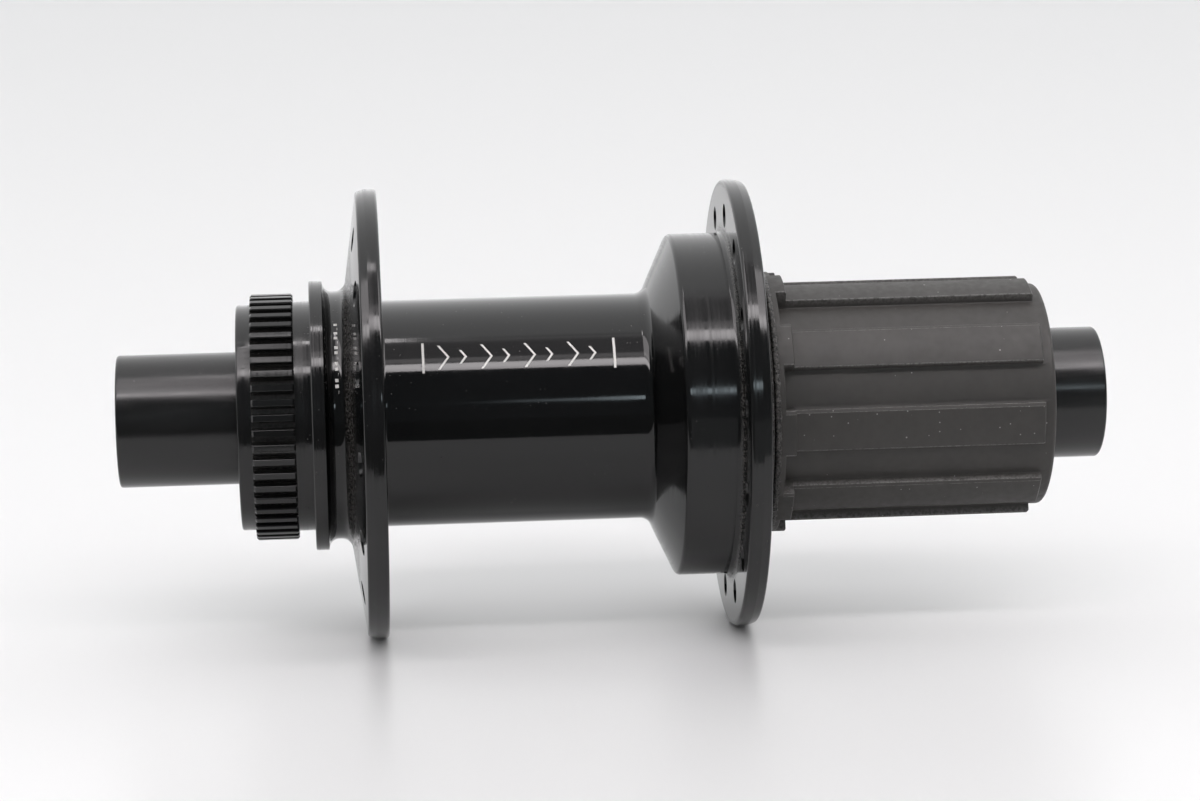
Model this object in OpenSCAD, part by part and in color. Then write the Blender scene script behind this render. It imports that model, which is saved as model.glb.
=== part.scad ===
// Rear disc hub for a 12 mm through-axle, with a nine-spline cassette freehub.
// The hub axis is Y, through the origin at mid length. The disc side is +Y and the drive side is -Y.
// +X points forwards and +Z up, so a wheel that rolls forwards turns the positive way about +Y.

/* [Hub] */
// Length between the two dropout faces
over_caps = 142; // [141:0.5:143]
// Diameter of the end caps
cap_d = 19; // [18.8:0.1:19.2]
// Diameter of the through-axle bore
thru_axle_d = 12.1; // [12.05:0.05:12.2]

/* [Shell] */
// Diameter of the barrel between the flanges
barrel_d = 32.6; // [32:0.1:33]
// Diameter of both spoke flanges
flange_d = 64.8; // [63.6:0.1:66]
// Thickness of a spoke flange
flange_t = 3.1; // [2.8:0.1:3.2]
// Middle of the disc-side flange
disc_flange_y = 34.75; // [34.55:0.05:34.8]
// Middle of the drive-side flange
drive_flange_y = -18.15; // [-18.3:0.05:-18.05]
// Diameter of the drum over the ratchet
drum_d = 49.5; // [48:0.1:49.8]
// Diameter of the plain nose inside the rotor spline
nose_d = 32.4; // [32:0.1:32.8]
// Face of the nose
nose_y = 53.76; // [53.6:0.02:54]

/* [Rotor spline] */
// Number of rotor spline teeth
rotor_teeth = 52; // [52]
// Diameter over the rotor spline teeth
rotor_spline_d = 35.4; // [35:0.1:36]
// Outboard end of the rotor spline
rotor_spline_y = 51.7; // [51.4:0.1:52]
// Length of the rotor spline
rotor_spline_len = 6.1; // [5.8:0.1:6.3]
// Diameter of the shoulder that the rotor rests against
shoulder_d = 38.8; // [38.6:0.1:39.2]

/* [Spoke holes] */
// Spoke holes in each flange
spokes_per_flange = 14; // [12:1:18]
// Diameter of the circle of spoke holes
spoke_pcd = 55.4; // [55:0.1:56]
// Diameter of a spoke hole
spoke_hole_d = 2.6; // [2.4:0.1:2.8]

/* [Freehub] */
// Diameter over the cassette splines
spline_d = 34.8; // [34.4:0.1:35]
// Diameter at the bottom of the cassette splines
spline_root_d = 32.2; // [32:0.1:32.6]
// Width of a cassette spline ridge in degrees
ridge_deg = 20.2; // [19:0.1:21]
// Extra width of the odd ridge in degrees
odd_ridge_deg = 7; // [6:0.5:8]
// Diameter of the inboard ring and of the lugs that the largest sprocket rests against
freehub_shoulder_d = 37.8; // [36.5:0.1:38]

/* [Ratchet] */
// Teeth in the ratchet ring, a multiple of the number of pawls
ratchet_teeth = 48; // [48]
// Clearance between pawl and ratchet ring
pawl_gap = 0.06; // [0.05:0.01:0.08]

/* [Bearings] */
// Bore of each bearing
bearing_bore_d = 15; // [15]
// Outer diameter of each bearing
bearing_d = 28; // [28]
// Width of each bearing
bearing_w = 7; // [7]
// Balls in each bearing
ball_count = 12; // [9:1:13]
// Diameter of a ball
ball_d = 3.5; // [3.3:0.1:3.5]

/* [Hidden] */
$fn = 96;

// Stations along the axis
end_y = over_caps / 2;
disc_bearing_y = 42.7;
drive_bearing_y = -7.5;
freehub_inner_bearing_y = -25.5;
freehub_outer_bearing_y = -48;
axle_disc_end_y = 58;
axle_drive_end_y = -62;
shoulder_y = 42.3;
shoulder_t = 1.9;
cone_start_y = -4.75;
shell_end_y = -20.3;
carrier_start_y = -12.5;
freehub_shoulder_y = -21.7;
freehub_shoulder_t = 1.5;
ridge_end_y = -60.5;
freehub_end_y = -62.3;

// Radii
cap_r = cap_d / 2;
seat_r = bearing_bore_d / 2;
axle_bore_r = thru_axle_d / 2;
axle_middle_r = 8.5;
cap_socket_r = seat_r + 0.05;
bearing_r = bearing_d / 2;
barrel_r = barrel_d / 2;
flange_r = flange_d / 2;
drum_r = drum_d / 2;
nose_r = nose_d / 2;
band_r = 16.5;
neck_r = 17.85;
cavity_r = 13.6;
bearing_shoulder_r = 12.3;
rotor_thread_r = 14.6;
cassette_thread_r = 14.7;
ratchet_ring_r = 21.2;
carrier_r = 17.3;
carrier_bore_r = 10.2;
spline_root_r = spline_root_d / 2;

// Bearing section
race_gap = 0.05;
ball_circle_r = (seat_r + bearing_r) / 2;
inner_land_r = 9.4;
outer_land_r = 12.1;
seal_t = 0.6;
seal_inset = 0.3;
cage_w = 4.8;
cage_t = 1.2;

// Ratchet and pawls
ratchet_start_y = -12;
ratchet_len = 7.5;
tooth_tip_r = 17.8;
tooth_root_r = 18.7;
tooth_pitch = 360 / ratchet_teeth;
tooth_lean = 2.2;
tooth_flat = 0.6;
pawl_count = 4;
pawl_pivot_r = 15.6;
pawl_reach_deg = 27.3;
pawl_heel_r = 1.2;
pawl_rest_deg = 11;
pawl_w = 6;
pawl_mid_y = -16.4;
pocket_w = 6.4;

// A solid of revolution about the hub axis, from outline points [radius, y]
module turned(outline) rotate([-90, 0, 0]) rotate_extrude() polygon(outline);

// A plain ring about the hub axis
module ring(r_in, r_out, y_low, y_high)
    turned([[r_in, y_low], [r_out, y_low], [r_out, y_high], [r_in, y_high]]);

// A flat outline drawn at right angles to the hub axis and given a length along it
module along_axis(y_low, y_high)
    rotate([-90, 0, 0]) translate([0, 0, y_low]) linear_extrude(y_high - y_low) children();

// Points on an arc about [r, y], from one angle to another
function arc(r, y, radius, from, to, steps = 6) =
    [for (i = [0:steps]) let (a = from + (to - from) * i / steps) [r + radius * cos(a), y + radius * sin(a)]];

function polar(r, a) = [r * cos(a), r * sin(a)];

// ---------- axle and what is clamped to it ----------

o_ring_r = 0.38;
o_ring_circle_r = 7.14;
groove_floor_r = 6.75;
groove_w = 1.2;
disc_groove_y = 52;
drive_groove_y = -57;

module axle() color([0.62, 0.63, 0.65]) difference() {
    union() {
        ring(axle_bore_r, seat_r, axle_drive_end_y, axle_disc_end_y);
        ring(axle_bore_r, axle_middle_r, drive_bearing_y + bearing_w / 2, disc_bearing_y - bearing_w / 2);
    }
    for (y = [disc_groove_y, drive_groove_y])
        ring(groove_floor_r, seat_r + 1, y - groove_w / 2, y + groove_w / 2);
}

module cap_o_rings() color([0.1, 0.1, 0.1])
    for (y = [disc_groove_y, drive_groove_y])
        rotate([-90, 0, 0]) translate([0, 0, y]) rotate_extrude()
            translate([o_ring_circle_r, 0]) circle(o_ring_r);

// An end cap's outline for the disc side; the drive side's is the same outline with its own stations
cap_chamfer = 0.35;
cap_neck_r = 9;
shield_t = 1.5;

module end_cap(face_y, socket_y, neck_y, start_y, side) color([0.06, 0.06, 0.065])
    turned([
        [thru_axle_d / 2 + cap_chamfer, side * face_y],
        [cap_r - cap_chamfer, side * face_y],
        [cap_r, side * (face_y - cap_chamfer)],
        [cap_r, side * neck_y],
        [cap_neck_r, side * neck_y],
        [cap_neck_r, side * start_y],
        [cap_socket_r, side * start_y],
        [cap_socket_r, side * socket_y],
        [thru_axle_d / 2, side * socket_y],
        [thru_axle_d / 2, side * (face_y - cap_chamfer)]
    ]);

socket_gap = 0.05;
disc_shield_y = 46.9;
drive_shield_y = 53.1;
shield_r = 13.6;

module end_cap_disc_side()
    end_cap(end_y, axle_disc_end_y + socket_gap, disc_shield_y + shield_t,
            disc_bearing_y + bearing_w / 2, 1);

module end_cap_drive_side()
    end_cap(end_y, -axle_drive_end_y + socket_gap, drive_shield_y + shield_t,
            -freehub_outer_bearing_y + bearing_w / 2, -1);

// A rubber disc with a thin lip that keeps dirt off the bearing
module shield(y_inner, side) color([0.12, 0.12, 0.12])
    turned([
        [cap_neck_r, side * y_inner],
        [shield_r - 0.4, side * y_inner],
        [shield_r, side * (y_inner + 0.5)],
        [shield_r, side * (y_inner + shield_t - 0.3)],
        [shield_r - 0.7, side * (y_inner + shield_t)],
        [cap_neck_r, side * (y_inner + shield_t)]
    ]);

module shield_disc_side() shield(disc_shield_y, 1);
module shield_drive_side() shield(drive_shield_y, -1);

spacer_r = 9;
module hub_freehub_spacer() color([0.7, 0.7, 0.72])
    ring(seat_r, spacer_r, freehub_inner_bearing_y + bearing_w / 2, drive_bearing_y - bearing_w / 2);

module freehub_bearing_spacer() color([0.7, 0.7, 0.72])
    ring(seat_r, spacer_r, freehub_outer_bearing_y + bearing_w / 2, freehub_inner_bearing_y - bearing_w / 2);

// ---------- hub shell ----------

outboard_round = 1.2;
inboard_round = 0.5;
neck_fillet = 1.6;
shoulder_fillet = 1.4;
barrel_fillet = 0.5;
cone_fillet = 1.8;
cone_slope = 25;
drum_round = 0.8;
drum_fillet = 1;
boss_r = 22.8;

// The outboard face of the disc-side flange is dished: it rises towards the neck, tangent to the
// rounding of its rim and to the fillet at the neck
dish_deg = 8;
disc_face_y = disc_flange_y + flange_t / 2;
disc_back_y = disc_flange_y - flange_t / 2;
drive_face_y = drive_flange_y - flange_t / 2;
drive_back_y = drive_flange_y + flange_t / 2;
dish_rim_r = flange_r - outboard_round * (1 - sin(dish_deg));
dish_neck_r = neck_r + neck_fillet * (1 - sin(dish_deg));
function dish_y(r) = disc_face_y - outboard_round * (1 - cos(dish_deg)) + (dish_rim_r - r) * tan(dish_deg);
dish_start_y = dish_y(dish_neck_r) + neck_fillet * cos(dish_deg);

// The cone between barrel and drum, with its corners rounded
cone_corner = tan((90 - cone_slope) / 2);
cone_end_y = cone_start_y - (drum_r - barrel_r) * tan(cone_slope);

// The outside of the shell, from the nose to the drive-side end
function shell_outside() = concat(
    [[nose_r - 0.4, nose_y], [nose_r, nose_y - 0.4]],
    [[nose_r, rotor_spline_y - rotor_spline_len], [band_r, rotor_spline_y - rotor_spline_len]],
    [[band_r, shoulder_y + shoulder_t / 2]],
    [[shoulder_d / 2 - 0.2, shoulder_y + shoulder_t / 2]],
    [[shoulder_d / 2, shoulder_y + shoulder_t / 2 - 0.2], [shoulder_d / 2, shoulder_y - shoulder_t / 2]],
    arc(neck_r + shoulder_fillet, shoulder_y - shoulder_t / 2 - shoulder_fillet, shoulder_fillet, 90, 180),
    arc(neck_r + neck_fillet, dish_start_y, neck_fillet, 180, 270 - dish_deg),
    arc(flange_r - outboard_round, disc_face_y - outboard_round, outboard_round, 90 - dish_deg, 0),
    arc(flange_r - inboard_round, disc_back_y + inboard_round, inboard_round, 0, -90),
    arc(barrel_r + barrel_fillet, disc_back_y - barrel_fillet, barrel_fillet, 90, 180),
    arc(barrel_r + cone_fillet, cone_start_y + cone_fillet * cone_corner, cone_fillet, 180, 270 - cone_slope),
    arc(drum_r - drum_round, cone_end_y - drum_round * cone_corner, drum_round, 90 - cone_slope, 0),
    arc(drum_r + drum_fillet, drive_back_y + drum_fillet, drum_fillet, 180, 270),
    arc(flange_r - inboard_round, drive_back_y - inboard_round, inboard_round, 90, 0),
    arc(flange_r - outboard_round, drive_face_y + outboard_round, outboard_round, 0, -90),
    [[boss_r + 0.4, drive_face_y], [boss_r, shell_end_y]]
);

// The inside of the shell, back from the drive-side end to the nose
disc_seat_y = disc_bearing_y - bearing_w / 2;
drive_seat_y = drive_bearing_y + bearing_w / 2;
thread_end_y = 48.8;

function shell_inside() = [
    [ratchet_ring_r + 0.4, shell_end_y],
    [ratchet_ring_r, shell_end_y + 0.4],
    [ratchet_ring_r, ratchet_start_y],
    [bearing_r + 1, ratchet_start_y],
    [bearing_r, ratchet_start_y + 0.6],
    [bearing_r, drive_seat_y],
    [bearing_shoulder_r, drive_seat_y],
    [bearing_shoulder_r, drive_seat_y + 2],
    [cavity_r, drive_seat_y + 4],
    [cavity_r, disc_seat_y - 4],
    [bearing_shoulder_r, disc_seat_y - 2],
    [bearing_shoulder_r, disc_seat_y],
    [bearing_r, disc_seat_y],
    [bearing_r, thread_end_y],
    [rotor_thread_r, thread_end_y],
    [rotor_thread_r, nose_y - 0.5],
    [rotor_thread_r + 0.5, nose_y]
];

rotor_spline_phase = 3;

// The rotor spline: straight teeth, each about half a pitch wide at the root
function rotor_spline_outline() = [
    for (i = [0:rotor_teeth - 1], corner = [[-0.24, 0], [-0.17, 1], [0.17, 1], [0.24, 0]])
        let (a = rotor_spline_phase + (i + corner[0]) * 360 / rotor_teeth)
            polar(corner[1] == 1 ? rotor_spline_d / 2 : nose_r - 0.2, a)
];

spoke_step = 360 / spokes_per_flange;
spoke_phase = 9;
countersink = 0.5;

// A spoke hole with a countersink at both ends
module spoke_hole(y_low, y_high, r) rotate([-90, 0, 0]) rotate_extrude($fn = 32) polygon([
    [0, y_low - 1],
    [r + countersink + 1, y_low - 1],
    [r, y_low + countersink],
    [r, y_high - countersink],
    [r + countersink + 1, y_high + 1],
    [0, y_high + 1]
]);

// Spoke holes round one flange, the first one at the given angle from the top
module spoke_holes(y_low, y_high, first_deg)
    for (i = [0:spokes_per_flange - 1])
        rotate([0, first_deg + i * spoke_step, 0]) translate([0, 0, spoke_pcd / 2])
            spoke_hole(y_low, y_high, spoke_hole_d / 2);

module hub_shell() color([0.03, 0.03, 0.035]) difference() {
    union() {
        turned(concat(shell_outside(), shell_inside()));
        along_axis(rotor_spline_y - rotor_spline_len, rotor_spline_y)
            difference() {
                polygon(rotor_spline_outline());
                circle(nose_r - 0.8);
            }
    }
    spoke_holes(disc_back_y, dish_y(spoke_pcd / 2), spoke_phase);
    spoke_holes(drive_face_y, drive_back_y, spoke_phase + spoke_step / 2);
}

// ---------- ratchet ----------

// The open space inside the ratchet ring. Each tooth has a steep face that the pawl pushes the
// positive way round, and a ramp that lifts the pawl when the shell overruns.
function ratchet_space(gap) = [
    for (i = [0:ratchet_teeth - 1], corner = [
        [-tooth_flat, tooth_root_r],
        [0, tooth_root_r],
        [tooth_lean, tooth_tip_r],
        [tooth_lean + tooth_flat, tooth_tip_r]
    ])
        let (back = corner[0] < 0 || corner[0] > tooth_lean ? 0 : 4 * gap)
            polar(corner[1] - gap, pawl_reach_deg + i * tooth_pitch + corner[0] - back)
];

module ratchet_ring() color([0.5, 0.51, 0.53])
    along_axis(ratchet_start_y - ratchet_len, ratchet_start_y) difference() {
        circle(ratchet_ring_r);
        polygon(ratchet_space(0));
    }

// A pawl's flat outline in mesh, drawn from its pivot and reaching the positive way round the axis
pawl_outline = [
    [0.8, 0.75], [1.35, 3.9], [3.2, 5.2], [2.2, 8.33],
    [-0.5, 8.65], [-1.2, 7.2], [-1.15, 0.3], [0, 0]
];

// A pawl as it stands when the shell overruns: swung inwards about its pivot, clear of the teeth
module pawl_at(number) color([0.55, 0.56, 0.58])
    along_axis(pawl_mid_y - pawl_w / 2, pawl_mid_y + pawl_w / 2)
        rotate(number * 360 / pawl_count) translate([pawl_pivot_r, 0]) rotate(pawl_rest_deg)
            translate([-pawl_pivot_r, 0]) intersection() {
                translate([pawl_pivot_r, 0]) union() {
                    circle(pawl_heel_r);
                    polygon(pawl_outline);
                }
                polygon(ratchet_space(pawl_gap));
            }

module pawl_1() pawl_at(0);
module pawl_2() pawl_at(1);
module pawl_3() pawl_at(2);
module pawl_4() pawl_at(3);

// A bent leaf that lies on the pocket floor and presses the pawl outwards
spring_outline = [[-3.35, 0.4], [-3.35, 5.7], [-2.9, 7.25], [-2.65, 7.15], [-3.1, 5.6], [-3.1, 0.4]];
spring_w = 4;

module pawl_springs() color([0.75, 0.75, 0.77])
    for (i = [0:pawl_count - 1])
        along_axis(pawl_mid_y - spring_w / 2, pawl_mid_y + spring_w / 2)
            rotate(i * 360 / pawl_count) translate([pawl_pivot_r, 0]) polygon(spring_outline);

// ---------- freehub ----------

ridge_phase = 15.9;
ridge_count = 9;
ridge_step = 360 / ridge_count;
ridge_start_y = freehub_shoulder_y - freehub_shoulder_t;
lug_len = 1.5;
lug_step = 0.05;
lug_step_deg = 0.2;
ridge_depth = 2;
snap_groove_y = freehub_outer_bearing_y - bearing_w / 2;
snap_groove_w = 1.1;
snap_groove_r = 14.6;

// The freehub body without its ridges and pawl pockets
function freehub_outline() = concat([
    [carrier_bore_r, carrier_start_y],
    [carrier_r - 0.4, carrier_start_y],
    [carrier_r, carrier_start_y - 0.4],
    [carrier_r, freehub_shoulder_y],
    [freehub_shoulder_d / 2 - 0.3, freehub_shoulder_y],
    [freehub_shoulder_d / 2, freehub_shoulder_y - 0.3],
    [freehub_shoulder_d / 2, ridge_start_y + 0.2],
    [freehub_shoulder_d / 2 - 0.2, ridge_start_y],
    [spline_root_r, ridge_start_y]
], arc(spline_root_r - 0.6, freehub_end_y + 0.6, 0.6, 0, -90, 4), [
    [cassette_thread_r + 0.4, freehub_end_y],
    [cassette_thread_r, freehub_end_y + 0.4],
    [cassette_thread_r, snap_groove_y - snap_groove_w - 0.5],
    [bearing_r, snap_groove_y - snap_groove_w - 0.5],
    [bearing_r, snap_groove_y - snap_groove_w],
    [snap_groove_r, snap_groove_y - snap_groove_w],
    [snap_groove_r, snap_groove_y],
    [bearing_r, snap_groove_y],
    [bearing_r, freehub_inner_bearing_y + bearing_w / 2],
    [carrier_bore_r, freehub_inner_bearing_y + bearing_w / 2]
]);

// A pie slice from one angle to another, for cutting round shapes
module slice(from, to, r) polygon(concat([[0, 0]], [for (i = [0:4]) polar(r, from + (to - from) * i / 4)]));

// Ridge 0 is the odd one, wider on one side, so that sprockets fit in one position only
function ridge_low(i) = ridge_phase + i * ridge_step - ridge_deg / 2;
function ridge_high(i) = ridge_low(i) + ridge_deg + (i == 0 ? odd_ridge_deg : 0);

// All ridges between two stations, up to radius r, narrowed by an angle on each side
module ridges(y_low, y_high, r, narrow_deg) along_axis(y_low, y_high)
    difference() {
        intersection() {
            circle(r);
            for (i = [0:ridge_count - 1]) slice(ridge_low(i) + narrow_deg, ridge_high(i) - narrow_deg, 2 * r);
        }
        circle(r - ridge_depth);
    }

// The open space that holds one pawl, round its heel and under its arm
pocket_outline = [[-3.4, -0.2], [-3.4, 9.6], [4, 9.6], [4, 0.8], [0, 0.8], [0, -0.2]];

module pawl_pockets()
    for (i = [0:pawl_count - 1])
        along_axis(pawl_mid_y - pocket_w / 2, pawl_mid_y + pocket_w / 2)
            rotate(i * 360 / pawl_count) translate([pawl_pivot_r, 0]) union() {
                circle(pawl_heel_r + 0.05);
                polygon(pocket_outline);
            }

// Each ridge starts with a taller lug, and the largest sprocket rests against the lugs
module freehub_body() color([0.16, 0.15, 0.145]) difference() {
    union() {
        turned(freehub_outline());
        ridges(ridge_end_y, ridge_start_y + 0.4, spline_d / 2, 0);
        ridges(ridge_start_y - lug_len, ridge_start_y + 0.5, freehub_shoulder_d / 2 - lug_step, lug_step_deg);
    }
    pawl_pockets();
}

// A rubber lip that closes the gap between the shell and the freehub body
module freehub_seal() color([0.05, 0.05, 0.05])
    turned([
        [carrier_r, -19.75],
        [20.6, -19.95],
        [20.9, -20.5],
        [20.5, -20.9],
        [19.2, freehub_shoulder_y + 0.2],
        [18.7, freehub_shoulder_y + 0.1],
        [carrier_r, freehub_shoulder_y + 0.1]
    ]);

snap_inner_r = 12.9;
snap_outer_r = 14.5;
snap_gap_deg = 16;
lug_r = 1.2;
lug_hole_r = 0.55;

module freehub_snap_ring() color([0.45, 0.45, 0.46])
    along_axis(snap_groove_y - snap_groove_w + 0.1, snap_groove_y - 0.1) difference() {
        union() {
            difference() {
                circle(snap_outer_r);
                circle(snap_inner_r);
                slice(-snap_gap_deg, snap_gap_deg, snap_outer_r * 2);
            }
            for (side = [-1, 1]) rotate(side * (snap_gap_deg + 4)) translate([snap_inner_r, 0]) circle(lug_r);
        }
        for (side = [-1, 1]) rotate(side * (snap_gap_deg + 4)) translate([snap_inner_r, 0]) circle(lug_hole_r);
    }

// ---------- bearings ----------

// A groove of round section that the balls run in
module ball_track(y) rotate([-90, 0, 0]) translate([0, 0, y]) rotate_extrude()
    translate([ball_circle_r, 0]) circle(ball_d / 2 + race_gap);

module inner_race(y) color([0.72, 0.72, 0.74]) difference() {
    ring(seat_r, inner_land_r, y - bearing_w / 2, y + bearing_w / 2);
    ball_track(y);
}

module outer_race(y) color([0.72, 0.72, 0.74]) difference() {
    ring(outer_land_r, bearing_r, y - bearing_w / 2, y + bearing_w / 2);
    ball_track(y);
}

module balls(y) color([0.85, 0.85, 0.86])
    for (i = [0:ball_count - 1])
        rotate([0, i * 360 / ball_count, 0]) translate([ball_circle_r, y, 0]) sphere(ball_d / 2, $fn = 48);

module cage(y) color([0.75, 0.6, 0.35]) difference() {
    ring(ball_circle_r - cage_t / 2, ball_circle_r + cage_t / 2, y - cage_w / 2, y + cage_w / 2);
    for (i = [0:ball_count - 1])
        rotate([0, i * 360 / ball_count, 0]) translate([ball_circle_r - cage_t, y, 0])
            rotate([0, 90, 0]) cylinder(h = 2 * cage_t, r = ball_d / 2 + race_gap);
}

module seals(y) color([0.15, 0.15, 0.17])
    for (side = [-1, 1])
        let (outside = y + side * (bearing_w / 2 - seal_inset))
            turned([
                [inner_land_r + 0.1, outside],
                [outer_land_r, outside],
                [outer_land_r, outside - side * seal_t],
                [inner_land_r + 0.1, outside - side * seal_t]
            ]);

module disc_bearing_inner_race() inner_race(disc_bearing_y);
module disc_bearing_outer_race() outer_race(disc_bearing_y);
module disc_bearing_balls() balls(disc_bearing_y);
module disc_bearing_cage() cage(disc_bearing_y);
module disc_bearing_seals() seals(disc_bearing_y);
module drive_bearing_inner_race() inner_race(drive_bearing_y);
module drive_bearing_outer_race() outer_race(drive_bearing_y);
module drive_bearing_balls() balls(drive_bearing_y);
module drive_bearing_cage() cage(drive_bearing_y);
module drive_bearing_seals() seals(drive_bearing_y);
module freehub_inner_bearing_inner_race() inner_race(freehub_inner_bearing_y);
module freehub_inner_bearing_outer_race() outer_race(freehub_inner_bearing_y);
module freehub_inner_bearing_balls() balls(freehub_inner_bearing_y);
module freehub_inner_bearing_cage() cage(freehub_inner_bearing_y);
module freehub_inner_bearing_seals() seals(freehub_inner_bearing_y);
module freehub_outer_bearing_inner_race() inner_race(freehub_outer_bearing_y);
module freehub_outer_bearing_outer_race() outer_race(freehub_outer_bearing_y);
module freehub_outer_bearing_balls() balls(freehub_outer_bearing_y);
module freehub_outer_bearing_cage() cage(freehub_outer_bearing_y);
module freehub_outer_bearing_seals() seals(freehub_outer_bearing_y);

axle();
end_cap_disc_side();
end_cap_drive_side();
cap_o_rings();
shield_disc_side();
shield_drive_side();
hub_freehub_spacer();
freehub_bearing_spacer();
hub_shell();
ratchet_ring();
freehub_body();
freehub_seal();
freehub_snap_ring();
pawl_springs();
pawl_1();
pawl_2();
pawl_3();
pawl_4();
disc_bearing_inner_race();
disc_bearing_outer_race();
disc_bearing_balls();
disc_bearing_cage();
disc_bearing_seals();
drive_bearing_inner_race();
drive_bearing_outer_race();
drive_bearing_balls();
drive_bearing_cage();
drive_bearing_seals();
freehub_inner_bearing_inner_race();
freehub_inner_bearing_outer_race();
freehub_inner_bearing_balls();
freehub_inner_bearing_cage();
freehub_inner_bearing_seals();
freehub_outer_bearing_inner_race();
freehub_outer_bearing_outer_race();
freehub_outer_bearing_balls();
freehub_outer_bearing_cage();
freehub_outer_bearing_seals();
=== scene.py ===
"""Looks for the rear disc hub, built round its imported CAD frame.

Sizes on the hub are millimetres; the floor, backdrop, lights and camera are placed in metres. A place
on the hub is given as a radius, an angle in degrees above the front horizontal, and a station along
the hub axis (Y).
"""

import math
import random

import bmesh
import bpy
from mathutils import Matrix, Vector
from mathutils.geometry import delaunay_2d_cdt


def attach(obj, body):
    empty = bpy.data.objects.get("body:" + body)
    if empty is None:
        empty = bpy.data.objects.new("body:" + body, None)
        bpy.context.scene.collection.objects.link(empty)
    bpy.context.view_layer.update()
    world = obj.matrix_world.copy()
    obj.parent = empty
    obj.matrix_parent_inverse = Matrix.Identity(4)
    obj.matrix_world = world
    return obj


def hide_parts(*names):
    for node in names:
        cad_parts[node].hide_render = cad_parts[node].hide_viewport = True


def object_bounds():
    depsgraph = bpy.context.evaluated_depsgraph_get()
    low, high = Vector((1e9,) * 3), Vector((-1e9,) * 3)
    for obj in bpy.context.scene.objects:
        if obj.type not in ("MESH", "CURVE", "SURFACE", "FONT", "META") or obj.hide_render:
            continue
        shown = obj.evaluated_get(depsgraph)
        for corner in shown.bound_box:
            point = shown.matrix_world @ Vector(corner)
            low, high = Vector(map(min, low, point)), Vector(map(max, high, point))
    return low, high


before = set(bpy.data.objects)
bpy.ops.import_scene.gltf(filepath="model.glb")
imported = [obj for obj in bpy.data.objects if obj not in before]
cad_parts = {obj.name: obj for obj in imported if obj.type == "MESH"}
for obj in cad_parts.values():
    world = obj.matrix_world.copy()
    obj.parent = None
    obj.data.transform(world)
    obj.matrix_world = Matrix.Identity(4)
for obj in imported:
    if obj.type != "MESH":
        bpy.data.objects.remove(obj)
cad_lo, cad_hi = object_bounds()
MM = 0.001
BARREL_R = 16.3
chance = random.Random(7)


# ---------- mesh tools ----------

def place(radius, deg, y):
    a = math.radians(deg)
    return (-radius * math.cos(a) * MM, y * MM, radius * math.sin(a) * MM)


def even(count):
    """Angles in equal steps round a full turn."""
    return [360 * i / count for i in range(count)]


def arc(radius, y, size, start, end, steps):
    """Outline points [radius, station] on a circular arc about one point."""
    return [
        (radius + size * math.cos(math.radians(a)), y + size * math.sin(math.radians(a)))
        for a in (start + (end - start) * i / steps for i in range(steps + 1))
    ]


class Skin:
    """Collects loops of points and the faces between them, then makes them one mesh object."""

    def __init__(self):
        self.points = []
        self.wear_and_edge_highlight = []
        self.faces = []

    def loop(self, y, radii, degs, wear_and_edge_highlight=None):
        first = len(self.points)
        self.points += [place(r, d, y) for r, d in zip(radii, degs)]
        self.wear_and_edge_highlight += wear_and_edge_highlight or [0.0] * len(degs)
        return list(range(first, len(self.points)))

    def circle(self, y, radius, degs):
        return self.loop(y, [radius] * len(degs), degs)

    def band(self, a, b):
        for i, j in zip(range(len(a)), [*range(1, len(a)), 0]):
            self.faces.append((a[i], a[j], b[j], b[i]))

    def bands(self, loops):
        for a, b in zip(loops, loops[1:]):
            self.band(a, b)
        return loops

    def turn(self, outline, degs):
        return self.bands([self.circle(y, r, degs) for r, y in outline])

    def plate(self, outer, *inner):
        """Fills the flat face between an outer loop and the loops inside it."""
        loops = [outer, *inner]
        index = [i for loop in loops for i in loop]
        owner = [k for k, loop in enumerate(loops) for _ in loop]
        flat = [Vector((self.points[i][0], self.points[i][2])) / MM for i in index]
        edges, first = [], 0
        for loop in loops:
            edges += [(first + i, first + (i + 1) % len(loop)) for i in range(len(loop))]
            first += len(loop)
        _, _, triangles, origin, _, _ = delaunay_2d_cdt(flat, edges, [], 0, 1e-6)
        for triangle in triangles:
            corner = [origin[v][0] for v in triangle]
            owners = {owner[c] for c in corner}
            if len(owners) > 1 or owners == {0}:
                self.faces.append(tuple(index[c] for c in corner))

    def object(self, name, sharp_deg=50):
        mesh = bpy.data.meshes.new(name)
        mesh.from_pydata(self.points, [], self.faces)
        # Per-point weight for lighter paint on the freehub's ridge edges: partly wear, partly a painted
        # highlight.
        layer = mesh.attributes.new("wear_and_edge_highlight", "FLOAT", "POINT")
        layer.data.foreach_set("value", self.wear_and_edge_highlight)
        bm = bmesh.new()
        bm.from_mesh(mesh)
        bmesh.ops.remove_doubles(bm, verts=bm.verts, dist=2e-7)
        bmesh.ops.recalc_face_normals(bm, faces=bm.faces)
        bm.to_mesh(mesh)
        bm.free()
        return finish_mesh(name, mesh, sharp_deg)


def linked(name, data):
    """A new object in the scene."""
    made = bpy.data.objects.new(name, data)
    bpy.context.scene.collection.objects.link(made)
    return made


def smooth(mesh, sharp_deg):
    for polygon in mesh.polygons:
        polygon.use_smooth = True
    mesh.set_sharp_from_angle(angle=math.radians(sharp_deg))


def finish_mesh(name, mesh, sharp_deg):
    smooth(mesh, sharp_deg)
    made = linked(name, mesh)
    normals = made.modifiers.new("face_weighted_normals", "WEIGHTED_NORMAL")
    normals.keep_sharp = True
    normals.weight = 90
    return made


THREAD_DEPTH, THREAD_ROW, THREAD_FADE, THREAD_STEEPNESS = 0.42, 0.125, 0.6, 1.35


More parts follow.
